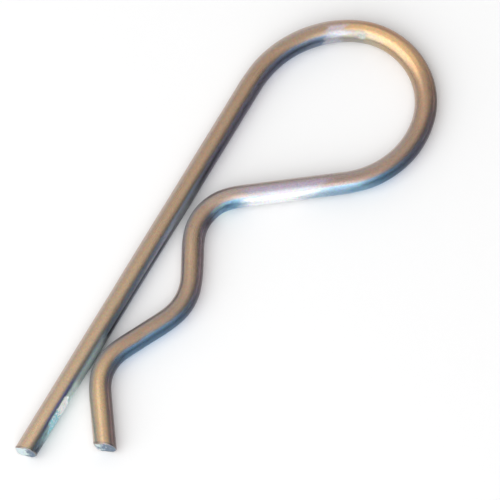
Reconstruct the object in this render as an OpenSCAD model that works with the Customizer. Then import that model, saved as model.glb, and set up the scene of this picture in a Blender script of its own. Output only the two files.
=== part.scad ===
// Hitch clip (R clip), bent from one length of round spring wire.
//
// The straight leg goes through the cross hole of a shaft. The shaped leg rides over the outside of the
// shaft until the hump grips it, and the loop is the spring that holds the two legs together.
//
// Millimetres. The clip lies flat on z = 0. The straight leg points along +X and the shaped leg is on
// its +Y side. The origin is under the middle of the clip.

/* [Wire] */
// Diameter of the wire
wire_d = 4; // [3:0.1:5]
// Width of the broken edge round each cut end
edge_break = 0.2; // [0.1:0.05:0.5]

/* [Shaft that the clip holds] */
// Diameter of the shaft
shaft_d = 16; // [12:0.5:20]
// Clearance between the shaft and the hump that goes round it
shaft_clear = 0.2; // [0:0.05:0.5]

/* [Straight leg] */
// From the middle of the shaft to the cut end of the straight leg
tip_l = 38.2; // [32:0.1:46]
// Angle at which this end is sheared off, with the side towards the shaped leg the shorter
tip_slant = 10; // [0:1:20]

/* [Spring loop] */
// Centreline radius of the wide bend that leads into the loop
entry_r = 20; // [16:0.5:26]
// Angle of that bend
entry_a = 60; // [45:1:75]
// Centreline radius of the crown of the loop
crown_r = 13.5; // [11:0.5:18]
// Centreline radius of the bend that leads out of the loop
exit_r = 16.5; // [13:0.5:21]
// Angle of that bend
exit_a = 60; // [45:1:75]
// Straight wire from the loop back to the inner throat
return_l = 19.5; // [15:0.5:25]

/* [Inner throat, on the loop side of the shaft] */
// Centreline radius of its bend
inner_r = 9; // [7:0.5:12]
// Gap that it leaves to the straight leg
inner_gap = 0.9; // [0.1:0.1:2]
// Straight wire between it and the hump
inner_l = 6.4; // [4:0.1:9]

/* [Outer throat, on the free side of the shaft] */
// Centreline radius of its bend
outer_r = 8.5; // [6:0.5:11]
// Gap that it leaves to the straight leg
outer_gap = 0.1; // [0.1:0.1:1]
// Straight wire between it and the hump
outer_l = 9.6; // [6:0.1:13]

/* [Lead-in] */
// Angle at which the free end stands off the straight leg
lead_a = 35; // [25:1:45]
// Length of the straight free end
lead_l = 10.7; // [6:0.1:14]
// Angle at which this end is sheared off, with the outer side the longer
lead_slant = 18; // [0:1:25]

/* [Hidden] */
$fn = 96;
wire_r = wire_d / 2;
// Length of wire that is drawn with each sheared end
end_l = wire_d;

// The shape is worked out from the middle of the shaft, at [0, 0] on the axis of the straight leg.
// The hump is concentric with the shaft, and each throat's lowest point is its gap from the leg.
hump_r = shaft_d / 2 + shaft_clear + wire_r;
inner_y = wire_d + inner_gap + inner_r;
outer_y = wire_d + outer_gap + outer_r;

// Straight wire of a given length joins two circles that curve opposite ways when their centres are
// this far apart along X, for a given distance apart along Y.
function spread(radii, length, dy) = sqrt(pow(radii, 2) + pow(length, 2) - pow(dy, 2));

// Angle between that straight wire and the line through the two centres.
function lean(radii, length) = atan2(radii, length);

inner_x = -spread(hump_r + inner_r, inner_l, inner_y);
outer_x = spread(hump_r + outer_r, outer_l, outer_y);
inner_dir = atan2(-inner_y, -inner_x) + lean(hump_r + inner_r, inner_l);
outer_dir = atan2(outer_y, outer_x) - lean(hump_r + outer_r, outer_l);

// Seen from the centre of the crown, the bend that leads out carries the return wire past at a fixed
// distance, whichever way it points, and adds a little to its length.
exit_step = exit_r - crown_r;
return_off = exit_r - exit_step * cos(exit_a);
return_reach = return_l + exit_step * sin(exit_a);
crown_y = entry_r - (entry_r - crown_r) * cos(entry_a);
crown_x = inner_x - spread(return_off + inner_r, return_reach, crown_y - inner_y);
return_dir = atan2(inner_y - crown_y, inner_x - crown_x) - lean(return_off + inner_r, return_reach);
entry_x = crown_x + (entry_r - crown_r) * sin(entry_a);
crown_a = 180 - return_dir - entry_a - exit_a;

// Outline of the finished clip. The top of the loop is on the crown or on the bend after it.
crown_end = return_dir + exit_a + 90;
loop_top = crown_y + (crown_end > 90 ? exit_r - exit_step * sin(crown_end) : crown_r);
x_min = crown_x - crown_r - wire_r;
x_max = tip_l + (wire_r - edge_break) * sin(tip_slant);
y_min = -wire_r;
y_max = loop_top + wire_r;

// The wire's frames are turned one inside the other, and rounding to six decimals would make each a
// little larger or smaller than the last. So each turn is eased to the nearest one that keeps its size.
// Most that a vector of unit length may be off, in millionths, then the step and the number of tries
ease_error = 0.003;
ease_step = 0.000025;
ease_tries = 2400;

function unit_error(angle) = abs(norm([round(cos(angle) * 1e6), round(sin(angle) * 1e6)]) - 1e6);

function eased(angle) =
    [for (k = [0:ease_tries], way = [-1, 1])
        let (turn = angle + way * k * ease_step)
        if (unit_error(turn) < ease_error) turn][0];

// Straight wire along +X, then what follows it.
module run(length) {
    rotate([0, 90, 0]) cylinder(h = length, r = wire_r);
    translate([length, 0, 0]) children();
}

// Wire that starts along +X and bends to the left, or to the right if the angle is negative, then what
// follows it. The ring is drawn a little long and cut square in the frame of what follows.
module bend(radius, angle) {
    side = sign(angle);
    turn = eased(angle);
    spare = 0.1;
    reach = radius + wire_d;
    translate([0, side * radius, 0]) {
        difference() {
            rotate_extrude(angle = angle + side * spare, start = -90 * side)
                translate([radius, 0]) circle(r = wire_r);
            rotate([0, 0, turn]) translate([0, -reach, -wire_d])
                cube([reach, 2 * reach, 2 * wire_d]);
        }
        rotate([0, 0, turn]) translate([0, -side * radius, 0]) children();
    }
}

// The last of the wire along +X, sheared off with its left side shorter by the slant. The cone, square
// to the cut, breaks the edge at 45 degrees.
module sheared_end(slant) {
    face_r = wire_r - edge_break;
    cone_l = 4 * wire_d;
    intersection() {
        rotate([0, 90, 0]) cylinder(h = 2 * end_l, r = wire_r);
        translate([end_l, 0, 0]) rotate([0, -90, slant])
            cylinder(h = cone_l, r1 = face_r, r2 = face_r + cone_l);
    }
}

module clip() {
    color([0.72, 0.58, 0.44])
    translate([-(x_min + x_max) / 2, -(y_min + y_max) / 2, wire_r])
    translate([tip_l - end_l, 0, 0]) {
        sheared_end(tip_slant);
        rotate([0, 0, 180])
        run(tip_l - end_l - entry_x)
        bend(entry_r, -entry_a)
        bend(crown_r, -crown_a)
        bend(exit_r, -exit_a)
        run(return_l)
        bend(inner_r, inner_dir - return_dir)
        run(inner_l)
        bend(hump_r, outer_dir - inner_dir)
        run(outer_l)
        bend(outer_r, lead_a - outer_dir)
        run(lead_l - end_l)
        sheared_end(-lead_slant);
    }
}

clip();
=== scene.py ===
"""Looks of the hitch clip: one bent spring wire with a yellow-passivated zinc plating.

The wire is built in the frame of the CAD part, ring by ring along the same path of straights and bends."""

import math
from collections import namedtuple

import bpy
import numpy as np
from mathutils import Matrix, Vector, noise


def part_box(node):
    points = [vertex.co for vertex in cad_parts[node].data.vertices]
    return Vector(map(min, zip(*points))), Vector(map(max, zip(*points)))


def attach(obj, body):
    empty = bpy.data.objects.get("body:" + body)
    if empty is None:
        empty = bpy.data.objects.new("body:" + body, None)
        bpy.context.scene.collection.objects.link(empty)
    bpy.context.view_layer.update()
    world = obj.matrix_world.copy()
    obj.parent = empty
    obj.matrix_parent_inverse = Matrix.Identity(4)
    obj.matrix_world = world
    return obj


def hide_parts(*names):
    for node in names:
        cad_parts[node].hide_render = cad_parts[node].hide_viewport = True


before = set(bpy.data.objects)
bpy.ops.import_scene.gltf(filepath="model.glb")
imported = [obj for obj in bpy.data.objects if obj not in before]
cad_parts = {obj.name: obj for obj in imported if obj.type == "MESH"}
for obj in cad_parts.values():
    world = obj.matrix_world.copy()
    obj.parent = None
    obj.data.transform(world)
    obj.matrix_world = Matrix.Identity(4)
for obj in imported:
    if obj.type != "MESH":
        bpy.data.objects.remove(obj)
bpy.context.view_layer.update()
MM = 0.001


# ---------------------------------------------------------------- sizes, in millimetres and degrees
# The path's sizes are those of the CAD part, and are explained there.
WIRE_R = 2.0
EDGE_BREAK = 0.2
SHAFT_R = 8.0
SHAFT_CLEAR = 0.2
TIP_L = 38.2
TIP_SLANT = 10.0
ENTRY_R, ENTRY_A = 20.0, 60.0
CROWN_R = 13.5
EXIT_R, EXIT_A = 16.5, 60.0
RETURN_L = 19.5
INNER_R, INNER_GAP, INNER_L = 9.0, 0.9, 6.4
OUTER_R, OUTER_GAP, OUTER_L = 8.5, 0.1, 9.6
LEAD_A, LEAD_L, LEAD_SLANT = 35.0, 10.7, 18.0

RING_STEP = 0.35      # between rings along the wire
FINE_STEP = 0.12      # the same by the tip
SIDES = 72            # vertices round a ring
CURVE_STEP = 0.25     # between the points where the curvature is read
CURVE_BLUR = 17       # number of them over which it is blurred
EDGE_RINGS = 4        # rings round the broken edge of a cut
CAP_RINGS = 16        # rings across a cut face
END_CLEAR = 0.45      # no plain ring lies nearer than this to an end
SLANT_FADE = 6.0      # length over which the rings turn to the slant of a cut

BEND_SWELL = 0.55     # how much a bend moves the surface, for a curvature of 1 per millimetre
WAVE_DEPTH = 0.04     # unevenness of the drawn wire
WAVE_LENGTH = 7.0
MARK_INSET = 1.2      # from the end of a bend to its tool mark
MARK_SIZE = (1.3, 0.9, 0.05)  # its length, width and depth
DENT_REACH = 3        # a dent is left out beyond this many of its lengths
# A flat that a tool has scraped into the wire by the tip
SCRAPE = (5.2, 12.2)  # where it starts and ends
SCRAPE_SIDE = -64     # angle round the wire
SCRAPE_DEPTH = 0.25
SCRAPE_MARGIN = 2.0   # it is left out beyond this distance from its ends
SCRAPE_REACH = 60     # and beyond this angle to either side of it
SCRAPE_FADE_IN = (1.0, 2.5)   # it deepens from this far before its start to this far after it
SCRAPE_FADE_OUT = (0.3, 0.2)  # the same at its end
SCRAPE_RAGGED, RAGGED_NOISE = 2.0, (0.8, 3)    # how far its ends wander, and how finely
SCRAPE_UNEVEN, UNEVEN_NOISE = 0.22, (1.8, 3)   # how much its depth varies, and how finely
SCRAPE_BARE = 0.03    # how deep below the round wire it has lost its plating
DING_BARE = (0.05, 0.09)      # how deep a ding is where the plating starts to go, and is gone
# Small dings: distance along the wire, angle round it, length, width and depth
DINGS = [
    (103.2, -48, 1.0, 0.8, 0.12),
    (31.0, -20, 0.7, 0.5, 0.04),
    (57.5, 35, 0.6, 0.4, 0.04),
    (121.0, 20, 0.8, 0.5, 0.04),
    (150.0, -15, 0.7, 0.5, 0.03),
    (187.0, -30, 0.8, 0.5, 0.04),
    (12.0, 50, 0.9, 0.5, 0.05),
]
# A sheared face, from -1 where the blade entered to 1: a rolled edge, a burnished part and a torn part with
# tears and grit in it
ROLLED_PART, ROLLED_DEPTH = (0.55, 1.0), 0.28      # counted from the middle towards the blade's side
TORN_PART, TORN_STEP = (-0.25, 0.0), 0.05
TEAR_DEPTH, TEAR_NOISE = 0.05, (3.5, 1.2)
GRIT_DEPTH, GRIT_NOISE = 0.03, (9, 7)
# Seeds of the noise
NOISE_SHIFT = Vector((17.3, 5.1, 9.7))
WAVE_SEED, RAGGED_SEED, UNEVEN_SEED, TIP_SEED, FREE_SEED = 1, 5, 6, 3, 7


# ---------------------------------------------------------------- camera and light, in metres and degrees
# Directions are (azimuth, elevation) from the clip, with +X at azimuth 0 and +Y at 90.
CAMERA_FROM = (29.9, 70.0)
CAMERA_TARGET = (-0.0022, 0.0002, 0.002)
CAMERA_DISTANCE = 3.0
VIEW_WIDTH = 0.0881
SENSOR_WIDTH = 36.0     # in millimetres
CLIP_START, CLIP_END = 0.01, 20.0

ROOM_LIGHT = 0.74
FLOOR_SIZE = 8.0
FLOOR_COLOUR = (0.93, 0.93, 0.93, 1.0)

KEY_FROM = (350, 51)
KEY_DISTANCE = 1.0
KEY_SIZE = 1.5
KEY_LIGHT = 1.3

STRIP_FROM = 33
STRIP_DISTANCE = 1.0
STRIP_WIDTH, STRIP_HEIGHT = 0.5, 1.7
STRIP_LIGHT = 0.94

# A dim curtain closes one side of the room, so that the round wire has a dark side. Its cloth is solid
# near its middle and thins out, and it ends more sharply at one azimuth.
CURTAIN_FROM = (108, 8)
CURTAIN_RADIUS = 1.3
CURTAIN_SOLID, CURTAIN_OPEN = 25, 78
CURTAIN_EDGE, CURTAIN_EDGE_FADE = 50, (-0.03, 0.05)
CURTAIN_COLOUR = (0.18, 0.18, 0.18, 1.0)
CURTAIN_RINGS, CURTAIN_SIDES = 12, 48

LAMP_UNIT = math.pi    # watts per square metre for a soft light as bright as a white floor


# ---------------------------------------------------------------- the path of the wire
def bent_path():
    """The (length, turn) pieces of the wire's path, from the tip to the free end.

    They are worked out as in the CAD part, from the middle of the shaft, which lies on the straight leg."""
    hump_r = SHAFT_R + SHAFT_CLEAR + WIRE_R
    inner_y = 2 * WIRE_R + INNER_GAP + INNER_R
    outer_y = 2 * WIRE_R + OUTER_GAP + OUTER_R

    def spread(radii, length, dy):
        return math.sqrt(radii ** 2 + length ** 2 - dy ** 2)

    def lean(radii, length):
        return math.degrees(math.atan2(radii, length))

    def heading(dy, dx):
        return math.degrees(math.atan2(dy, dx))

    inner_x = -spread(hump_r + INNER_R, INNER_L, inner_y)
    outer_x = spread(hump_r + OUTER_R, OUTER_L, outer_y)
    inner_dir = heading(-inner_y, -inner_x) + lean(hump_r + INNER_R, INNER_L)
    outer_dir = heading(outer_y, outer_x) - lean(hump_r + OUTER_R, OUTER_L)
    exit_step = EXIT_R - CROWN_R
    return_off = EXIT_R - exit_step * math.cos(math.radians(EXIT_A))
    return_reach = RETURN_L + exit_step * math.sin(math.radians(EXIT_A))
    crown_y = ENTRY_R - (ENTRY_R - CROWN_R) * math.cos(math.radians(ENTRY_A))
    crown_x = inner_x - spread(return_off + INNER_R, return_reach, crown_y - inner_y)
    return_dir = heading(inner_y - crown_y, inner_x - crown_x) - lean(return_off + INNER_R, return_reach)
    entry_x = crown_x + (ENTRY_R - CROWN_R) * math.sin(math.radians(ENTRY_A))
    crown_a = 180 - return_dir - ENTRY_A - EXIT_A

    def arc(radius, turn):
        return abs(math.radians(turn)) * radius, turn

    return [
        (TIP_L - entry_x, 0),
        arc(ENTRY_R, -ENTRY_A),
        arc(CROWN_R, -crown_a),
        arc(EXIT_R, -EXIT_A),
        (RETURN_L, 0),
        arc(INNER_R, inner_dir - return_dir),
        (INNER_L, 0),
        arc(hump_r, outer_dir - inner_dir),
        (OUTER_L, 0),
        arc(OUTER_R, LEAD_A - outer_dir),
        (LEAD_L, 0),
    ]


def toward(where):
    """Unit vector in a direction given as (azimuth, elevation) in degrees."""
    turn, rise = math.radians(where[0]), math.radians(where[1])
    return Vector((math.cos(rise) * math.cos(turn), math.cos(rise) * math.sin(turn), math.sin(rise)))


def path_length(pieces):
    return sum(length for length, turn in pieces)


def stations_at(pieces, distances):
    """Rows of (distance, x, y, heading, curvature) at these distances from the tip, in rising order."""
    rows, start, x, y, heading, left = [], 0.0, TIP_L, 0.0, math.pi, list(distances)
    for number, (length, turn) in enumerate(pieces):
        rate = math.radians(turn) / length
        last = number == len(pieces) - 1

        def at(t):
            if rate:
                return (x + (math.sin(heading + rate * t) - math.sin(heading)) / rate,
                        y + (math.cos(heading) - math.cos(heading + rate * t)) / rate)
            return x + math.cos(heading) * t, y + math.sin(heading) * t

        while left and (left[0] < start + length or last):
            s = left.pop(0)
            px, py = at(s - start)
            rows.append((s, px, py, heading + rate * (s - start), rate))
        x, y = at(length)
        heading += math.radians(turn)
        start += length
    return np.array(rows)


# ---------------------------------------------------------------- the wire
def smooth(x, low, high):
    """0 below low, 1 above high, and an S-curve between them."""
    t = np.clip((x - low) / (high - low), 0, 1)
    return t * t * (3 - 2 * t)


def ripple(x, y, z, seed):
    """Soft noise between -1 and 1 at one point."""
    return noise.noise(Vector((x, y, z)) + NOISE_SHIFT * seed)


def dent(s, angle, at, side, length, width, depth):
    """Depth of a shallow dent, centred at a distance along the wire and at an angle round it."""
    turn = (angle - math.radians(side) + math.pi) % (2 * math.pi) - math.pi
    return depth * math.exp(-((s - at) / length) ** 2 - (turn * WIRE_R / width) ** 2)


def surface_radius(s, angle, curve, marks):
    """Radius of the drawn and bent wire at one point, in millimetres, and how bare of plating it is there.

    A bend thins the wire on its outside and thickens it on its inside, and leaves shallow tool marks."""
    across = math.sin(angle)
    r = WIRE_R + BEND_SWELL * curve * across
    r -= WAVE_DEPTH * (0.5 + 0.5 * ripple(math.cos(angle), across, s / WAVE_LENGTH, WAVE_SEED))
    for mark in marks:
        if abs(s - mark[0]) < DENT_REACH * mark[2]:
            r -= dent(s, angle, *mark)
    bare = 0.0
    for ding in DINGS:
        if abs(s - ding[0]) < DENT_REACH * ding[2]:
            deep = dent(s, angle, *ding)
            r -= deep
            bare = max(bare, smooth(deep, *DING_BARE))
    turn = angle - math.radians(SCRAPE_SIDE)
    start, end = SCRAPE
    beside = math.cos(turn) > math.cos(math.radians(SCRAPE_REACH))
    if beside and start - SCRAPE_MARGIN < s < end + SCRAPE_MARGIN:
        ragged = s + SCRAPE_RAGGED * ripple(s * RAGGED_NOISE[0], turn * RAGGED_NOISE[1], 0.0, RAGGED_SEED)
        share = smooth(ragged, start - SCRAPE_FADE_IN[0], start + SCRAPE_FADE_IN[1])
        share *= smooth(-ragged, -end - SCRAPE_FADE_OUT[1], SCRAPE_FADE_OUT[0] - end)
        uneven = 1 + SCRAPE_UNEVEN * ripple(s * UNEVEN_NOISE[0], turn * UNEVEN_NOISE[1], 0.0, UNEVEN_SEED)
        flat = (WIRE_R - SCRAPE_DEPTH * share * uneven) / math.cos(turn)
        bare = max(bare, smooth(r - flat, 0.0, SCRAPE_BARE))
        r = min(r, flat)
    return r, bare


def tool_marks(pieces):
    """A shallow flat on the outside of the wire where each bend starts and ends."""
    marks, s = [], 0.0
    for length, turn in pieces:
        if turn:
            outer = -90 if turn > 0 else 90
            for at in (s + MARK_INSET, s + length - MARK_INSET):
                marks.append((at, outer, *MARK_SIZE))
        s += length
    return marks


def end_profile():
    """Rings of a cut end, from the full wire to the middle of the face: (share of radius, depth, cut).

    The first rings go round the broken edge, where cut is 0.5, and the rest cross the face, where it is 1."""
    rows = []
    for i in range(EDGE_RINGS):
        a = math.pi / 2 * i / EDGE_RINGS
        rows.append((1 - EDGE_BREAK / WIRE_R * (1 - math.cos(a)), EDGE_BREAK * (1 - math.sin(a)), 0.5))
    for i in range(CAP_RINGS):
        rows.append(((1 - EDGE_BREAK / WIRE_R) * (1 - i / CAP_RINGS), 0.0, 1.0))
    return rows


def face_relief(u, v, seed):
    """How far a point of a sheared face lies below the plane of the cut, in millimetres.

    u runs across the cut from -1, where the blade entered, to 1, and v along it."""
    rolled = ROLLED_DEPTH * smooth(-u, *ROLLED_PART) ** 2
    torn = smooth(u, *TORN_PART)
    tears = TEAR_DEPTH * (1 + ripple(u * TEAR_NOISE[0], v * TEAR_NOISE[1], 0.0, seed))
    grit = GRIT_DEPTH * (1 + ripple(u * GRIT_NOISE[0], v * GRIT_NOISE[1], 0.0, seed + 1))
    return float(rolled + TORN_STEP * torn + torn * (tears + grit))


class WireMesh:
    """Collects rings of vertices and joins neighbouring rings with quads."""

    def __init__(self):
        self.points, self.faces, self.straight, self.cut, self.bare = [], [], [], [], []

    def ring(self, points, straight, cut, bare=None):
        """Adds a ring. straight says where its points would lie on the straightened wire."""
        first = len(self.points)
        self.points += points
        self.straight += straight
        self.cut += [cut] * SIDES
        self.bare += bare or [0.0] * SIDES
        if first:
            for j in range(SIDES):
                k = (j + 1) % SIDES
                self.faces.append((first - SIDES + j, first - SIDES + k, first + k, first + j))

    def close(self, point, straight, first, forward):
        """Closes the ring that starts at first with triangles round one point."""
        self.points.append(point)
        self.straight.append(straight)
        self.cut.append(1.0)
        self.bare.append(0.0)
        tip = len(self.points) - 1
        for j in range(SIDES):
            k = (j + 1) % SIDES
            self.faces.append((first + j, first + k, tip) if forward else (first + k, first + j, tip))


def wire_points(station, angles, radii, shifts, origin):
    """Points of one ring in metres, each moved along the wire by its own shift."""
    _, x, y, heading, _ = station
    along = np.array([math.cos(heading), math.sin(heading), 0.0])
    left = np.array([-math.sin(heading), math.cos(heading), 0.0])
    up = np.array([0.0, 0.0, 1.0])
    centre = np.array([x, y, 0.0]) + origin
    return [tuple(MM * (centre + along * d + r * (math.cos(a) * up + math.sin(a) * left)))
            for a, r, d in zip(angles, radii, shifts)]


def build_wire():
    """The whole wire as one closed mesh, with the attributes that the plating is placed by."""
    pieces = bent_path()
    total = path_length(pieces)
    fine = np.arange(0, SCRAPE[1] + SCRAPE_MARGIN, FINE_STEP)
    steps = round((total - fine[-1]) / RING_STEP)
    stations = stations_at(pieces, list(fine) + list(np.linspace(fine[-1], total, steps + 1)[1:]))
    low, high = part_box("clip")
    lean_out = (WIRE_R - EDGE_BREAK) * math.sin(math.radians(TIP_SLANT))
    origin = np.array([high.x / MM - lean_out - TIP_L, low.y / MM + WIRE_R, low.z / MM + WIRE_R])

    # The curvature is blurred a little, as the wire swells gradually into a bend.
    even = np.arange(0, total, CURVE_STEP)
    raw = np.interp(even, stations[:, 0], stations[:, 4])
    kernel = np.hanning(CURVE_BLUR)
    curve_at = np.convolve(raw, kernel / kernel.sum(), "same")

    marks = tool_marks(pieces)
    angles = [2 * math.pi * j / SIDES for j in range(SIDES)]
    mesh = WireMesh()

    def slants(s):
        """How far along the wire each vertex of this ring is moved, so that the ends lie at their slant."""
        start = 1 - smooth(s, 0.0, SLANT_FADE)
        end = 1 - smooth(total - s, 0.0, SLANT_FADE)
        lead = math.tan(math.radians(LEAD_SLANT)) * end - math.tan(math.radians(TIP_SLANT)) * start
        return [lead * WIRE_R * math.sin(a) for a in angles]

    def straight(s, radii, shifts):
        return [(r * math.cos(a), r * math.sin(a), s + d) for a, r, d in zip(angles, radii, shifts)]

    def end_rings(station, slant, inward, seed):
        """The rings of a cut end. inward is 1 if the wire lies ahead of the face, and -1 if behind it."""
        rings = []
        for share, depth, cut in end_profile():
            radii = [WIRE_R * share] * SIDES
            shifts = []
            for a in angles:
                flat = WIRE_R * share * math.sin(a) * slant
                relief = face_relief(share * math.sin(a) * -inward, share * math.cos(a), seed)
                shifts.append(flat + inward * (depth + relief))
            rings.append((wire_points(station, angles, radii, shifts, origin),
                          straight(station[0], radii, shifts), cut))
        return rings

    tip = end_rings(stations[0], -math.tan(math.radians(TIP_SLANT)), 1, TIP_SEED)
    free = end_rings(stations[-1], math.tan(math.radians(LEAD_SLANT)), -1, FREE_SEED)
    for ring in reversed(tip):
        mesh.ring(*ring)
    for station in stations:
        s = station[0]
        if s < END_CLEAR or s > total - END_CLEAR:
            continue
        curve = np.interp(s, even, curve_at)
        radii, bare = zip(*(surface_radius(s, a, curve, marks) for a in angles))
        shifts = slants(s)
        mesh.ring(wire_points(station, angles, radii, shifts, origin), straight(s, radii, shifts), 0.0,
                  list(bare))
    for ring in free:
        mesh.ring(*ring)
    last = len(mesh.points) - SIDES
    for station, seed, inward, first in ((stations[0], TIP_SEED, 1, 0), (stations[-1], FREE_SEED, -1, last)):
        relief = inward * face_relief(0.0, 0.0, seed)
        point = wire_points(station, [0.0], [0.0], [relief], origin)[0]
        mesh.close(point, (0.0, 0.0, station[0]), first, inward < 0)

    data = bpy.data.meshes.new("spring_wire")
    data.from_pydata(mesh.points, [], mesh.faces)
    data.shade_smooth()
    layer = data.attributes.new("straight", "FLOAT_VECTOR", "POINT")
    layer.data.foreach_set("vector", np.array(mesh.straight, np.float32).ravel())
    for name, values in (("cut", mesh.cut), ("bare", mesh.bare)):
        layer = data.attributes.new(name, "FLOAT", "POINT")
        layer.data.foreach_set("value", np.array(values, np.float32))
    data.validate()
    wire = bpy.data.objects.new("spring_wire", data)
    bpy.context.scene.collection.objects.link(wire)
    return wire


# ---------------------------------------------------------------- the plating: sizes and colours
# A place is (middle, half its length, how soft its ends are), in millimetres along the wire from the tip.
# A facing is the share of the surface's normal that points one way, from -1 to 1, and a height is the share
# that points up. A pair of them is where something starts and where it is full, and two more numbers after
# such a pair are how far it covers there. A band is (middle, half its width, how soft its sides are).
Patch = namedtuple("Patch", "place facing cover")

FRONT_AZIMUTH = 37      # the side that faces the bottom of the photograph
OUTER_AZIMUTH = 150     # the side that faces its upper right, which is outside the loop at its top
# Noises: steps per millimetre across the wire and along it, detail and roughness
CLOUDS = (0.35, 0.09, 3.0, 0.5)
BLOTCHES = (0.9, 0.35, 4.0, 0.5)
STREAKS = (1.6, 0.13, 2.0, 0.5)
TEARS = (1.6, 1.6, 3.0, 0.5)
FLECKS = (2.8, 2.8, 3.0, 0.6)
LINES = (14.0, 0.25, 4.0, 0.6)
GRAINS = (9.0, 9.0, 5.0, 0.65)
PLACE_WANDER = 3.0      # how far a place moves along the wire with the blotches
TILT_WANDER = 0.05      # the same for a height
LOOP_MIDDLE = (99.0, 101.0)      # before it is the straight leg, and after it the shaped one

# The tan, by the distance from the tip. From 101 to 114, on the top of the loop, it is brighter as a painted
# highlight.
TAN = [
    (0, (0.76, 0.55, 0.36, 1)),
    (20, (0.66, 0.48, 0.31, 1)),
    (33, (0.60, 0.44, 0.29, 1)),
    (45, (0.55, 0.39, 0.26, 1)),
    (66, (0.51, 0.35, 0.23, 1)),
    (85, (0.46, 0.31, 0.21, 1)),
    (96, (0.48, 0.35, 0.25, 1)),
    (101, (0.81, 0.54, 0.30, 1)),
    (114, (0.78, 0.48, 0.25, 1)),
    (119, (0.53, 0.33, 0.20, 1)),
    (130, (0.46, 0.32, 0.23, 1)),
    (145, (0.43, 0.32, 0.28, 1)),
    (156, (0.46, 0.36, 0.33, 1)),
    (163, (0.53, 0.44, 0.41, 1)),
    (167.5, (0.58, 0.44, 0.36, 1)),
    (171, (0.47, 0.33, 0.24, 1)),
    (180, (0.52, 0.36, 0.24, 1)),
    (192, (0.38, 0.29, 0.23, 1)),
    (202, (0.48, 0.33, 0.23, 1)),
    (208, (0.69, 0.48, 0.29, 1)),
    (222, (0.72, 0.51, 0.30, 1)),
]
RAMP_LENGTH = TAN[-1][0]
CLOUD_TAN = (0.57, 0.39, 0.28, 1)
CLOUDY = (0.35, 0.65, 0.0, 0.35)

# On the top of the loop a painted gold highlight lies on its crest, with painted shade in tawny inside it and
# in ruddy brown outside it
TAWNY, GOLD, BROWN = (0.48, 0.35, 0.23, 1), (1.0, 0.64, 0.33, 1), (0.35, 0.21, 0.15, 1)
TAWNY_PATCH = Patch((110.5, 4.5, 4.0), (-0.20, -0.55), 0.6)
GOLD_PLACE, GOLD_BAND, GOLD_COVER = (108.5, 5.0, 4.0), (0.08, 0.08, 0.15), 0.8
RUDDY_PATCH = Patch((109.0, 6.0, 4.0), (0.25, 0.50), 0.3)

# Painted shade: a duller tan where the surface turns down, on the two sides of the wire
PINK = (0.46, 0.39, 0.36, 1)
OUTER_EDGE = [(95, PINK), (104, BROWN), (122, BROWN), (132, PINK)]
INNER_EDGE = [(95, PINK), (104, TAWNY), (115, TAWNY), (125, PINK)]
EDGE_SIDES = (0.0, 0.3)
EDGE_HEIGHT, EDGE_BACK, EDGE_COVER = (0.95, 0.60), (-0.18, -0.42), 0.7

# The bloom on one side, by the direction in which the surface faces, in degrees from +X: partly the plating's
# own blue and violet, and partly a painted reflection of dark, bluish surroundings. The last number is how
# far it covers the tan.
BLOOM_AND_REFLECTION = [
    (350, (0.53, 0.46, 0.35, 0)),
    (370, (0.58, 0.51, 0.38, 0.8)),
    (388, (0.55, 0.55, 0.58, 1)),
    (397, (0.60, 0.63, 0.72, 1)),
    (403, (0.53, 0.69, 0.83, 1)),
    (418, (0.43, 0.64, 0.94, 1)),
    (432, (0.44, 0.55, 0.78, 1)),
    (450, (0.48, 0.49, 0.61, 1)),
    (468, (0.54, 0.47, 0.52, 1)),
    (487, (0.53, 0.41, 0.39, 1)),
    (505, (0.53, 0.38, 0.30, 0.9)),
    (525, (0.53, 0.38, 0.30, 0)),
    (709, (0.53, 0.46, 0.35, 0)),
]
BLOOM_AND_REFLECTION_AZIMUTH = BLOOM_AND_REFLECTION[0][0]          # where the stops of the bloom start
BLOOM_AND_REFLECTION_START, BLOOM_AND_REFLECTION_FULL = 12, 35     # how far from upright a surface faces where the bloom starts and is full
BLOOM_AND_REFLECTION_WANDER = 7                     # how far it turns with the blotches
# What the bloom is multiplied by along the wire: where it is lighter it is a painted reflection, where it is
# darker painted shade, and elsewhere a change of hue
COOL, DULL, DEEP = (0.78, 0.96, 1.0, 1), (0.85, 0.72, 0.68, 1), (0.46, 0.48, 0.58, 1)
LIT, DUSK, MILD = (1.15, 1.30, 1.35, 1), (1.20, 1.10, 1.15, 1), (0.94, 1.15, 1.2, 1)
BLUE, SKY, DIM = (0.53, 0.74, 0.86, 1), (1.7, 2.0, 2.0, 1), (0.78, 0.78, 0.78, 1)
PLAIN, WARM, RUDDY_SHADE = (0.95, 0.95, 0.95, 1), (1.0, 0.91, 0.92, 1), (1.0, 0.84, 0.68, 1)
BLOOM_AND_REFLECTION_TINT = [
    (26, COOL), (33, LIT), (47, LIT), (55, COOL), (62, DUSK), (82, DUSK), (88, WARM), (92, DULL),
    (95, DEEP), (97, DIM), (103, DIM), (107, PLAIN), (110, RUDDY_SHADE), (122, RUDDY_SHADE), (128, WARM), (132, WARM),
    (138, COOL), (141, COOL), (143.5, BLUE), (147, BLUE), (149.5, COOL), (160, COOL), (163, BLUE),
    (165.5, BLUE), (167, SKY), (169, SKY), (171, DULL), (175, DUSK), (186, DUSK), (191, MILD), (205, MILD),
    (210, WARM),
]
# Painted shade: how much of its light the underside keeps, by the same direction
UNDERSIDE = [
    (350, 1.0), (390, 1.0), (397, 0.85), (403, 0.6), (410, 0.40), (418, 0.26), (432, 0.18), (450, 0.16),
    (480, 0.18), (500, 0.32), (520, 0.6), (540, 1.0), (709, 1.0),
]
UNDERSIDE_TILT, UNDERSIDE_HEIGHT = (0.84, 0.56), (-0.30, 0.10)
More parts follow.
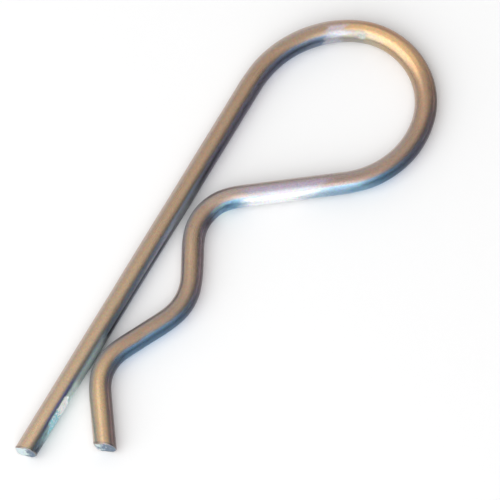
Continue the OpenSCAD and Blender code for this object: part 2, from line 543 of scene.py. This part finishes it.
# Painted shade along the bloom's upper edge: slate, paler at the two throats and umber on the loop
SLATE, ASH, UMBER = (0.41, 0.39, 0.38, 1), (0.68, 0.61, 0.58, 1), (0.76, 0.53, 0.38, 1)
SLATE_TILT = (0.80, 0.92, 0.0, 0.85)
UMBER_PLACE = (115.0, 6.0, 4.0)
ASH_PLACES = [(171.5, 2.0, 2.5), (205.5, 2.0, 2.5)]
# A band of the straight leg's underside with less painted shade, as a painted reflection of the hump of the
# shaped leg
BAND_PLACE, BAND_HEIGHT, BAND_KEPT = (37.0, 10.5, 3.5), (0.68, 0.08, 0.12), 0.9

# A painted highlight in silver and lavender on the run back from the loop
LAVENDER = (0.60, 0.51, 0.64, 1)
SILVER, MIST, STREAK = (0.94, 0.95, 0.97, 1), (0.48, 0.48, 0.52, 1), (0.41, 0.46, 0.56, 1)
STREAKY = (0.48, 0.64, 0.0, 0.7)
SILVER_FACING, BRIGHT_FACING = (0.0, 0.28), (0.50, 0.70)
HIGHLIGHT_START, HIGHLIGHT_END = (145.5, 151.0), (165.0, 160.5)
HIGHLIGHT_FACING = (-0.6, -0.05)
START_LEAN = -4.0                                # how much later the front of it starts
END_BULGE, END_FACING = 2.2, (0.42, 0.08, 0.25)  # how much sooner it ends, and in which band
# A painted highlight on the top of the loop, in a slanting patch, with painted shade at its end
TOP_HIGHLIGHT_GREY, ROSE, PALE_ROSE = (0.46, 0.46, 0.52, 1), (0.48, 0.35, 0.36, 1), (0.81, 0.69, 0.77, 1)
TOP_HIGHLIGHT_PATCH = Patch((98.4, 1.1, 1.5), (-0.60, -0.05), 0.8)
TOP_HIGHLIGHT_FACING, ROSE_FACING = (0.0, 0.25), (-0.5, -0.1)
SAND = (0.36, 0.33, 0.29, 1)
SAND_PATCH = Patch((101.5, 1.3, 1.6), (0.12, 0.40), 0.9)

# A painted reflection in teal on the lower side by the tip, under a dusky rim of painted shade and a violet
# stripe
TEAL, TEAL_LOW, ICE = (0.52, 0.81, 0.87, 1), (0.35, 0.52, 0.55, 1), (0.81, 1.0, 1.0, 1)
DUSKY, VIOLET = (0.38, 0.37, 0.33, 1), (0.31, 0.32, 0.64, 1)
TEAL_PLACE, TEAL_TILT = (13.5, 8.0, 4.0), (0.84, 0.68)
RIM_HEIGHT, RIM_END, RIM_COVER = (0.90, 0.04, 0.06), (31.0, 23.0), 0.5
VIOLET_PLACE, VIOLET_TILT, VIOLET_COVER = (10.5, 3.5, 4.0), (0.88, 0.03, 0.05), 0.85
# A paler painted highlight in the teal
ICE_PLACE, ICE_COVER = (13.6, 0.8, 2.2), 0.6

# Painted shade, dull and grey, on the sides that face each other, where the legs nearly touch
THROAT_SHADE, THROAT_SHADE_DARK = (0.38, 0.44, 0.43, 1), (0.28, 0.29, 0.31, 1)
THROAT_SHADE_START, THROAT_SHADE_STOP = (12.3, 16.3), (26.4, 24.0)
THROAT_SHADE_MIDDLES, THROAT_SHADE_HALF, THROAT_SHADE_SOFT = (52.0, 172.0, 206.0), 1.0, 9.0
THROAT_SHADE_FACING = (0.40, 0.85, 0.0, 0.8)
THROAT_SHADE_DARKENS = (30.0, 40.0)

# Scuffed zinc, in the scrape by the tip and in the dings beyond it; in the scrape it is partly bare zinc and
# partly a painted highlight, whitest towards one end
BARE, BARE_DULL, NICK = (0.96, 1.0, 1.0, 1), (0.30, 0.66, 0.78, 1), (0.48, 0.53, 0.48, 1)
BEYOND_SCRAPE = (50.0, 60.0)
WHITE_PLACE, WHITE_GAIN, NICK_GAIN = (11.4, 1.2, 2.0), 0.34, -0.08
WHITE = (0.49, 0.73)

# Cut ends: steel, with a painted highlight on one side and painted shade on the other, inside a dark rim
CUT_FACE, CUT_DARK, CUT_RIM = (0.67, 0.78, 0.79, 1), (0.17, 0.23, 0.31, 1), (0.25, 0.22, 0.21, 1)
SECOND_END = (100.0, 101.0)          # beyond it is the free end
# The slope and the shift below are painted shade on the cut faces
CUT_SLOPE = (-0.30, 0.10)            # how much darker a face is across it, at the tip and at the free end
CUT_SHIFT = 0.23                     # how much darker the whole face of the free end is
CUT_DARKENS = (0.50, 0.78)
CUT_RIM_BAND, CUT_RIM_COVER, CUT_FACE_BAND = (0.5, 0.1, 0.3), 0.7, (0.7, 1.0)

# Grain of the whole wire
FLECK_GAIN, FLECK_BASE = (0.8, 0.8, 0.8), (0.6, 0.6, 0.6)
LINE_TINT, LINE_COVER = (0.80, 0.76, 0.70, 1), (0.42, 0.62, 0.0, 0.16)
LINE_BUMP, GRAIN_BUMP = (0.10, 0.2), (0.12, 0.1)     # strength, and depth in millimetres
ROUGH_BASE, ROUGH_CLOUD, ROUGH_LINES, ROUGH_CUT, ROUGH_MILKY = 0.20, 0.10, 0.08, 0.15, 0.25
MILKY_TEAL, MILKY_METAL = 0.5, 0.8       # how milky teal is, and how much less of a metal milky plating is


# ---------------------------------------------------------------- shader helpers
class Shader:
    """Adds nodes to a node tree. An input is a socket or a constant."""

    def __init__(self, owner):
        owner.use_nodes = True
        self.tree = owner.node_tree
        self.tree.nodes.clear()

    def fill(self, socket, value):
        if isinstance(value, bpy.types.NodeSocket):
            self.tree.links.new(value, socket)
        else:
            socket.default_value = value

    def add(self, kind, inputs=None, **settings):
        node = self.tree.nodes.new(kind)
        for name, value in settings.items():
            setattr(node, name, value)
        for name, value in (inputs or {}).items():
            self.fill(node.inputs[name], value)
        return node

    def math(self, operation, a, b=0.0, c=0.0):
        return self.add("ShaderNodeMath", {0: a, 1: b, 2: c}, operation=operation).outputs[0]

    def times(self, *factors):
        product = factors[0]
        for factor in factors[1:]:
            product = self.math("MULTIPLY", product, factor)
        return product

    def wander(self, value, cloud, reach):
        """A value moved by up to reach either way, as the cloud goes from 0 to 1."""
        return self.math("ADD", value, self.math("MULTIPLY_ADD", cloud, 2 * reach, -reach))

    def map(self, value, low, high, to_low=0.0, to_high=1.0):
        """to_low at low, to_high at high, and an S-curve between them."""
        return self.add("ShaderNodeMapRange", {0: value, 1: low, 2: high, 3: to_low, 4: to_high},
                        interpolation_type="SMOOTHSTEP").outputs[0]

    def window(self, value, middle, half, soft):
        """1 within half of the middle, and 0 beyond half + soft."""
        away = self.math("ABSOLUTE", self.math("SUBTRACT", value, middle))
        return self.map(away, half + soft, half)

    def patch(self, along, facing, where):
        """How far a patch covers, by the distance along the wire and by a facing."""
        return self.times(self.window(along, *where.place), self.map(facing, *where.facing, 0.0, where.cover))

    def mix(self, factor, a, b, blend="MIX"):
        node = self.add("ShaderNodeMix", {"Factor": factor}, data_type="RGBA", blend_type=blend)
        self.fill(node.inputs[6], a)
        self.fill(node.inputs[7], b)
        return node.outputs[2]

    def noise(self, straight, across, along, detail, roughness):
        """Noise over the straightened wire, with this many steps per millimetre across it and along it."""
        steps = self.add("ShaderNodeVectorMath", {0: straight, 1: (across, across, along)},
                         operation="MULTIPLY").outputs[0]
        return self.add("ShaderNodeTexNoise", {"Vector": steps, "Scale": 1.0, "Detail": detail,
                                               "Roughness": roughness}).outputs

    def bump(self, height, strength, depth, under=None):
        """The normal of a bump that is this deep in millimetres, over the normal of another."""
        node = self.add("ShaderNodeBump", {"Height": height, "Strength": strength, "Distance": depth * MM})
        if under is not None:
            self.fill(node.inputs["Normal"], under)
        return node.outputs[0]

    def facing(self, vector, where):
        """Share of a unit vector that points in a direction given as (azimuth, elevation)."""
        return self.add("ShaderNodeVectorMath", {0: vector, 1: toward(where)},
                        operation="DOT_PRODUCT").outputs["Value"]

    def ramp(self, factor, stops):
        node = self.add("ShaderNodeValToRGB", {"Fac": factor})
        points = node.color_ramp.elements
        while len(points) > 1:
            points.remove(points[-1])
        points[0].position, points[0].color = stops[0]
        for position, colour in stops[1:]:
            points.new(position).color = colour
        return node.outputs

    def azimuth(self, vector, start):
        """Direction of a vector seen from above, as a share of a turn from start, in degrees."""
        parts = self.add("ShaderNodeSeparateXYZ", {0: vector}).outputs
        angle = self.math("ARCTAN2", parts[1], parts[0])
        return self.math("FRACT", self.math("MULTIPLY_ADD", angle, 1 / (2 * math.pi), 1 - start / 360))


# ---------------------------------------------------------------- the plating: its layers
class Surface:
    """Where a point lies on the wire and which way it faces, for the layers of the plating."""

    def __init__(self, sh):
        def attribute(name):
            return sh.add("ShaderNodeAttribute", attribute_name=name, attribute_type="GEOMETRY").outputs

        self.straight = attribute("straight")["Vector"]
        self.cut, self.bare = attribute("cut")["Fac"], attribute("bare")["Fac"]
        place = sh.add("ShaderNodeSeparateXYZ", {0: self.straight}).outputs
        self.across, self.along = place[1], place[2]

        normal = sh.add("ShaderNodeNewGeometry").outputs["Normal"]
        faces = sh.add("ShaderNodeSeparateXYZ", {0: normal}).outputs
        self.left, self.height = faces[1], faces[2]
        self.front = sh.facing(normal, (FRONT_AZIMUTH, 0))
        self.outer = sh.facing(normal, (OUTER_AZIMUTH, 0))

        self.cloud = sh.noise(self.straight, *CLOUDS)["Fac"]
        blotch = sh.noise(self.straight, *BLOTCHES)["Fac"]
        self.moved = sh.wander(self.along, blotch, PLACE_WANDER)
        self.tilt = sh.wander(self.height, blotch, TILT_WANDER)
        self.turn = sh.wander(sh.azimuth(normal, BLOOM_AND_REFLECTION_AZIMUTH), blotch, BLOOM_AND_REFLECTION_WANDER / 360)
        self.share = sh.math("DIVIDE", self.moved, RAMP_LENGTH)


def along_wire(sh, at, stops):
    """Colour by the distance from the tip."""
    return sh.ramp(at.share, [(place / RAMP_LENGTH, hue) for place, hue in stops])["Color"]


def round_wire(sh, at, stops):
    """Colour and cover by the direction in which the surface faces."""
    return sh.ramp(at.turn, [((azimuth - BLOOM_AND_REFLECTION_AZIMUTH) / 360, hue) for azimuth, hue in stops])


def tan_layer(sh, at):
    """The tan of the whole wire, with a painted gold highlight on the top of the loop and duller painted
    shade down the sides.
    """
    colour = sh.mix(sh.map(at.cloud, *CLOUDY), along_wire(sh, at, TAN), CLOUD_TAN)
    # Painted shade inside the top of the loop, a painted gold highlight on its crest and painted shade
    # outside it
    colour = sh.mix(sh.patch(at.moved, at.outer, TAWNY_PATCH), colour, TAWNY)
    gold = sh.times(sh.window(at.moved, *GOLD_PLACE), sh.window(at.outer, *GOLD_BAND), GOLD_COVER)
    colour = sh.mix(gold, colour, GOLD)
    colour = sh.mix(sh.patch(at.moved, at.outer, RUDDY_PATCH), colour, BROWN)
    # Painted shade where the surface turns down or faces away from the front
    inner, outer = along_wire(sh, at, INNER_EDGE), along_wire(sh, at, OUTER_EDGE)
    edge = sh.mix(sh.map(at.outer, *EDGE_SIDES), inner, outer)
    down = sh.math("MAXIMUM", sh.map(at.height, *EDGE_HEIGHT), sh.map(at.front, *EDGE_BACK))
    return sh.mix(sh.times(down, EDGE_COVER), colour, edge)


def bloom_reflection_and_shade_layer(sh, at, colour):
    """The blue and violet bloom over one side, partly the plating's own and partly a painted reflection, and
    the painted shade of its underside.

    Returns the colour, how far the bloom goes round the wire, and how dark the underside's painted shade is."""
    # Partly the plating's bloom and partly a painted reflection, by the direction in which the surface faces
    bloom = round_wire(sh, at, BLOOM_AND_REFLECTION)
    # Painted reflections and painted shade along the wire
    sheen = sh.mix(1.0, bloom["Color"], along_wire(sh, at, BLOOM_AND_REFLECTION_TINT), "MULTIPLY")
    # Painted shade along the bloom's upper edge
    slate = sh.mix(sh.window(at.moved, *UMBER_PLACE), SLATE, UMBER)
    pale = sh.math("MAXIMUM", *(sh.window(at.moved, *place) for place in ASH_PLACES))
    slate = sh.mix(pale, slate, ASH)
    sheen = sh.mix(sh.map(at.tilt, *SLATE_TILT), sheen, slate)
    full, start = math.cos(math.radians(BLOOM_AND_REFLECTION_FULL)), math.cos(math.radians(BLOOM_AND_REFLECTION_START))
    amount = sh.map(at.tilt, full, start, 1.0, 0.0)
    colour = sh.mix(sh.times(amount, bloom["Alpha"]), colour, sheen)

    # Painted shade on the underside
    low = sh.times(sh.map(at.tilt, *UNDERSIDE_TILT), sh.map(at.height, *UNDERSIDE_HEIGHT))
    # Less painted shade in this band: a painted reflection of the hump
    band = sh.times(sh.window(at.height, *BAND_HEIGHT), sh.window(at.moved, *BAND_PLACE))
    low = sh.times(low, sh.math("MULTIPLY_ADD", band, -BAND_KEPT, 1.0))
    shade = round_wire(sh, at, [(azimuth, (keep, keep, keep, 1)) for azimuth, keep in UNDERSIDE])["Color"]
    return sh.mix(low, colour, sh.mix(1.0, colour, shade, "MULTIPLY")), bloom["Alpha"], low


def painted_highlight_layer(sh, at, colour):
    """Painted highlights on the run back from the loop and on the top of the loop, with painted shade beside
    the second.
    """
    streak = sh.noise(at.straight, *STREAKS)["Fac"]
    silver = sh.mix(sh.map(at.front, *BRIGHT_FACING), MIST, SILVER)
    silver = sh.mix(sh.map(streak, *STREAKY), silver, STREAK)
    pale = sh.mix(sh.map(at.front, *SILVER_FACING), LAVENDER, silver)
    start = sh.math("MULTIPLY_ADD", sh.math("MAXIMUM", at.front, 0.0), START_LEAN, at.moved)
    end = sh.math("MULTIPLY_ADD", sh.window(at.front, *END_FACING), END_BULGE, at.moved)
    # How far the painted highlight covers
    highlight = sh.times(sh.map(start, *HIGHLIGHT_START), sh.map(end, *HIGHLIGHT_END), sh.map(at.front, *HIGHLIGHT_FACING))
    colour = sh.mix(highlight, colour, pale)

    # The painted highlight on the top of the loop
    top_highlight = sh.patch(sh.math("ADD", at.moved, at.front), at.front, TOP_HIGHLIGHT_PATCH)
    top_highlight_colour = sh.mix(sh.map(at.front, *TOP_HIGHLIGHT_FACING), PALE_ROSE, TOP_HIGHLIGHT_GREY)
    colour = sh.mix(top_highlight, colour, sh.mix(sh.map(at.front, *ROSE_FACING), ROSE, top_highlight_colour))
    # Painted shade just beyond the painted highlight on the top of the loop
    return sh.mix(sh.patch(at.moved, at.front, SAND_PATCH), colour, SAND)


def tip_layer(sh, at, colour, bloom_and_reflection_cover, low):
    """The teal painted reflection by the tip, its rim of painted shade and its stripe. Returns the colour and
    how far the teal covers.
    """
    # The painted reflection in teal
    teal = sh.times(sh.window(at.moved, *TEAL_PLACE), bloom_and_reflection_cover, sh.map(at.tilt, *TEAL_TILT))
    colour = sh.mix(teal, colour, sh.mix(low, TEAL, TEAL_LOW))
    # The rim of painted shade
    rim = sh.times(sh.window(at.height, *RIM_HEIGHT), sh.map(at.moved, *RIM_END), bloom_and_reflection_cover, RIM_COVER)
    colour = sh.mix(rim, colour, DUSKY)
    violet = sh.times(sh.window(at.moved, *VIOLET_PLACE), bloom_and_reflection_cover)
    stripe = sh.times(sh.window(at.tilt, *VIOLET_TILT), violet, VIOLET_COVER)
    return sh.mix(stripe, colour, VIOLET), teal


def throat_shade_layer(sh, at, colour):
    """Painted shade where the legs nearly touch. Returns the colour and how far the painted shade covers."""
    # Painted shade on the sides of the legs that face each other
    throat_shade = sh.times(sh.map(at.moved, *THROAT_SHADE_START), sh.map(at.moved, *THROAT_SHADE_STOP))
    for middle in THROAT_SHADE_MIDDLES:
        throat_shade = sh.math("MAXIMUM", throat_shade, sh.window(at.moved, middle, THROAT_SHADE_HALF, THROAT_SHADE_SOFT))
    towards_leg = sh.times(at.left, sh.map(at.along, *LOOP_MIDDLE, 1.0, -1.0))
    throat_shade = sh.times(throat_shade, sh.map(towards_leg, *THROAT_SHADE_FACING))
    return sh.mix(throat_shade, colour, sh.mix(sh.map(at.along, *THROAT_SHADE_DARKENS), THROAT_SHADE, THROAT_SHADE_DARK)), throat_shade


def bare_layer(sh, at, colour, fleck):
    """Zinc in the scrape, with a painted highlight whitest towards one end of it, and in the deepest ding."""
    # The painted highlight, whitest towards one end of the scrape
    whiter = sh.math("MULTIPLY_ADD", sh.window(at.along, *WHITE_PLACE), WHITE_GAIN, fleck)
    whiter = sh.math("ADD", whiter, sh.map(at.along, *BEYOND_SCRAPE, 0.0, NICK_GAIN))
    dull = sh.mix(sh.map(at.along, *BEYOND_SCRAPE), BARE_DULL, NICK)
    return sh.mix(at.bare, colour, sh.mix(sh.map(whiter, *WHITE), dull, BARE))


def cut_layer(sh, at, colour):
    """The steel of the two cut faces, with painted light and shade across them."""
    torn = sh.noise(at.straight, *TEARS)["Fac"]
    # Painted shade across the face, and over the whole face of the free end, added to the tear noise
    torn = sh.math("MULTIPLY_ADD", at.across, sh.map(at.along, *SECOND_END, *CUT_SLOPE), torn)
    torn = sh.math("ADD", torn, sh.map(at.along, *SECOND_END, 0.0, CUT_SHIFT))
    face = sh.mix(sh.map(torn, *CUT_DARKENS), CUT_FACE, CUT_DARK)
    colour = sh.mix(sh.times(sh.window(at.cut, *CUT_RIM_BAND), CUT_RIM_COVER), colour, CUT_RIM)
    return sh.mix(sh.map(at.cut, *CUT_FACE_BAND), colour, face)


def finish(sh, at, colour, fleck, teal, throat_shade):
    """Flecks and drawn lines over the colour, and the roughness, metal and bumps of the surface."""
    speck = sh.add("ShaderNodeVectorMath", {0: fleck, 1: FLECK_GAIN, 2: FLECK_BASE}, operation="MULTIPLY_ADD")
    colour = sh.mix(1.0, colour, speck.outputs[0], "MULTIPLY")
    lines, grain = sh.noise(at.straight, *LINES)["Fac"], sh.noise(at.straight, *GRAINS)["Fac"]
    colour = sh.mix(sh.map(lines, *LINE_COVER), colour, LINE_TINT, "MULTIPLY")

    milky = sh.math("MAXIMUM", at.bare, sh.math("MAXIMUM", sh.times(teal, MILKY_TEAL), throat_shade))
    rough = sh.math("MULTIPLY_ADD", at.cloud, ROUGH_CLOUD, ROUGH_BASE)
    rough = sh.math("MULTIPLY_ADD", lines, ROUGH_LINES, rough)
    rough = sh.math("MULTIPLY_ADD", at.cut, ROUGH_CUT, rough)
    rough = sh.math("MULTIPLY_ADD", milky, ROUGH_MILKY, rough)
    metal = sh.math("MULTIPLY_ADD", milky, -MILKY_METAL, 1.0)
    bumpy = sh.bump(grain, *GRAIN_BUMP, under=sh.bump(lines, *LINE_BUMP))
    shader = sh.add("ShaderNodeBsdfPrincipled", {"Base Color": colour, "Metallic": metal, "Roughness": rough,
                                                 "Normal": bumpy})
    sh.add("ShaderNodeOutputMaterial", {"Surface": shader.outputs[0]})


def plating():
    """Yellow-passivated zinc on drawn wire: a tan metal with a blue and violet bloom on one side that is
    partly a painted reflection, and painted highlights and shade.
    """
    material = bpy.data.materials.new("yellow_zinc")
    sh = Shader(material)
    at = Surface(sh)
    fleck = sh.noise(at.straight, *FLECKS)
    colour = tan_layer(sh, at)
    colour, bloom_and_reflection_cover, low = bloom_reflection_and_shade_layer(sh, at, colour)
    colour = painted_highlight_layer(sh, at, colour)
    colour, teal = tip_layer(sh, at, colour, bloom_and_reflection_cover, low)
    colour, throat_shade = throat_shade_layer(sh, at, colour)
    # A paler painted highlight in the teal by the tip
    colour = sh.mix(sh.times(sh.window(at.along, *ICE_PLACE), teal, ICE_COVER), colour, ICE)
    colour = bare_layer(sh, at, colour, fleck["Fac"])
    colour = cut_layer(sh, at, colour)
    finish(sh, at, colour, fleck["Color"], teal, throat_shade)
    return material


# ---------------------------------------------------------------- stage, light and camera
def place(data, name, where, distance, height=0.0):
    """An object that stands in a direction from the clip and faces it."""
    thing = bpy.data.objects.new(name, data)
    bpy.context.scene.collection.objects.link(thing)
    back = toward(where)
    thing.location = back * distance + Vector((0, 0, height))
    thing.rotation_euler = back.to_track_quat("Z", "Y").to_euler()
    return thing


def soft_box(name, where, distance, width, height, level, lift=0.0):
    """A soft light that looks level times as bright as a white floor."""
    lamp = bpy.data.lights.new(name, "AREA")
    lamp.shape = "RECTANGLE"
    lamp.size, lamp.size_y = width, height
    lamp.energy = level * width * height * LAMP_UNIT
    place(lamp, name, where, distance, lift).visible_camera = False


def room():
    """A plain pale room: even light from all round, and a pale floor."""
    world = bpy.data.worlds.new("room")
    bpy.context.scene.world = world
    sh = Shader(world)
    light = sh.add("ShaderNodeBackground", {"Color": (1, 1, 1, 1), "Strength": ROOM_LIGHT})
    sh.add("ShaderNodeOutputWorld", {"Surface": light.outputs[0]})

    bpy.ops.mesh.primitive_plane_add(size=FLOOR_SIZE)
    floor = bpy.context.object
    floor.name = "floor"
    material = bpy.data.materials.new("pale_floor")
    sh = Shader(material)
    matt = sh.add("ShaderNodeBsdfPrincipled", {"Base Color": FLOOR_COLOUR, "Roughness": 0.9,
                                               "Specular IOR Level": 0.0})
    sh.add("ShaderNodeOutputMaterial", {"Surface": matt.outputs[0]})
    floor.data.materials.append(material)


def curtain():
    """A dim curtain with soft edges, part of a ball round the clip. The camera doesn't see it."""
    rings, sides, points, faces = CURTAIN_RINGS, CURTAIN_SIDES, [], []
    for i in range(rings + 1):
        off = math.radians(CURTAIN_OPEN) * i / rings
        for j in range(sides):
            a = 2 * math.pi * j / sides
            points.append(Vector((math.sin(off) * math.cos(a), math.sin(off) * math.sin(a), math.cos(off)))
                          * CURTAIN_RADIUS)
    for i in range(rings):
        for j in range(sides):
            k = (j + 1) % sides
            faces.append((i * sides + j, i * sides + k, (i + 1) * sides + k, (i + 1) * sides + j))
    data = bpy.data.meshes.new("curtain")
    data.from_pydata(points, [], faces)
    cloth = place(data, "curtain", CURTAIN_FROM, 0.0)
    cloth.visible_camera = False
    material = bpy.data.materials.new("curtain")
    sh = Shader(material)
    position = sh.add("ShaderNodeNewGeometry").outputs["Position"]
    unit = sh.add("ShaderNodeVectorMath", {0: position}, operation="NORMALIZE").outputs[0]
    solid = sh.map(sh.facing(unit, CURTAIN_FROM), math.cos(math.radians(CURTAIN_OPEN)),
                   math.cos(math.radians(CURTAIN_SOLID)))
    solid = sh.times(solid, sh.map(sh.facing(unit, (CURTAIN_EDGE + 90, 0)), *CURTAIN_EDGE_FADE))
    clear = sh.add("ShaderNodeBsdfTransparent")
    matt = sh.add("ShaderNodeBsdfDiffuse", {"Color": CURTAIN_COLOUR})
    both = sh.add("ShaderNodeMixShader", {0: solid, 1: clear.outputs[0], 2: matt.outputs[0]})
    sh.add("ShaderNodeOutputMaterial", {"Surface": both.outputs[0]})
    data.materials.append(material)


def camera():
    """A very long lens above the clip, so that both ends are seen at the same scale."""
    data = bpy.data.cameras.new("camera")
    data.sensor_width = SENSOR_WIDTH
    data.lens = SENSOR_WIDTH * CAMERA_DISTANCE / VIEW_WIDTH
    data.clip_start, data.clip_end = CLIP_START, CLIP_END
    view = place(data, "camera", CAMERA_FROM, CAMERA_DISTANCE)
    view.location += Vector(CAMERA_TARGET)
    bpy.context.scene.camera = view


camera()
room()
curtain()
soft_box("key", KEY_FROM, KEY_DISTANCE, KEY_SIZE, KEY_SIZE, KEY_LIGHT)
soft_box("strip", (STRIP_FROM, 0), STRIP_DISTANCE, STRIP_WIDTH, STRIP_HEIGHT, STRIP_LIGHT,
         lift=STRIP_HEIGHT / 2)
bpy.context.scene.view_settings.view_transform = "Standard"
wire = build_wire()
wire.data.materials.append(plating())
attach(wire, "root")
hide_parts("clip")
